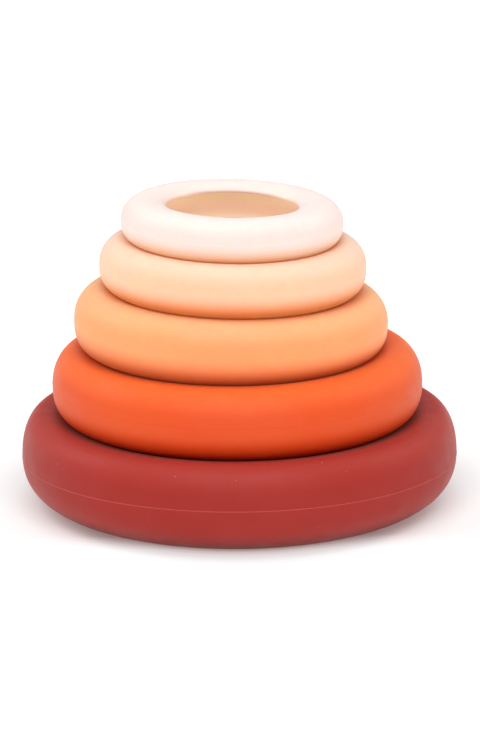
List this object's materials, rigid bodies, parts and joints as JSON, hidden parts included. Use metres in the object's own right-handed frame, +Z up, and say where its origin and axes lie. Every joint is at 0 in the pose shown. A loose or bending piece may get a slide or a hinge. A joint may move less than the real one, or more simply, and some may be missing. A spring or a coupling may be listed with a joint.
{
  "type": "stacking ring toy",
  "caption": "Stack of loose, hollow soft silicone rings of graded size, open through the middle, resting one on another without a post.",
  "frame": {"origin": "centre of the largest ring's flat foot, on the surface that the stack stands on", "axes": "+Z up along the largest ring's axis, -Y towards the front, +X to the right seen from the front"},
  "size_m": [0.115, 0.115, 0.0824],
  "materials": {
    "dark_red_silicone": "satin",
    "orange_silicone": "satin",
    "peach_silicone": "satin",
    "pale_peach_silicone": "satin",
    "cream_silicone": "satin"
  },
  "bodies": {
    "dark_red": {"dark_red_ring": "dark_red_silicone"},
    "orange": {"orange_ring": "orange_silicone"},
    "peach": {"peach_ring": "peach_silicone"},
    "pale_peach": {"pale_peach_ring": "pale_peach_silicone"},
    "cream": {"cream_ring": "cream_silicone"}
  },
  "joints": [
    {"name": "orange_lift", "type": "slide", "parent": "dark_red", "child": "orange", "axis": [0, 0, 1], "range_m": [0, 0.03]},
    {"name": "peach_lift", "type": "slide", "parent": "orange", "child": "peach", "axis": [0, 0, 1], "range_m": [0, 0.03]},
    {"name": "pale_peach_lift", "type": "slide", "parent": "peach", "child": "pale_peach", "axis": [0, 0, 1], "range_m": [0, 0.03]},
    {"name": "cream_lift", "type": "slide", "parent": "pale_peach", "child": "cream", "axis": [0, 0, 1], "range_m": [0, 0.03]}
  ]
}
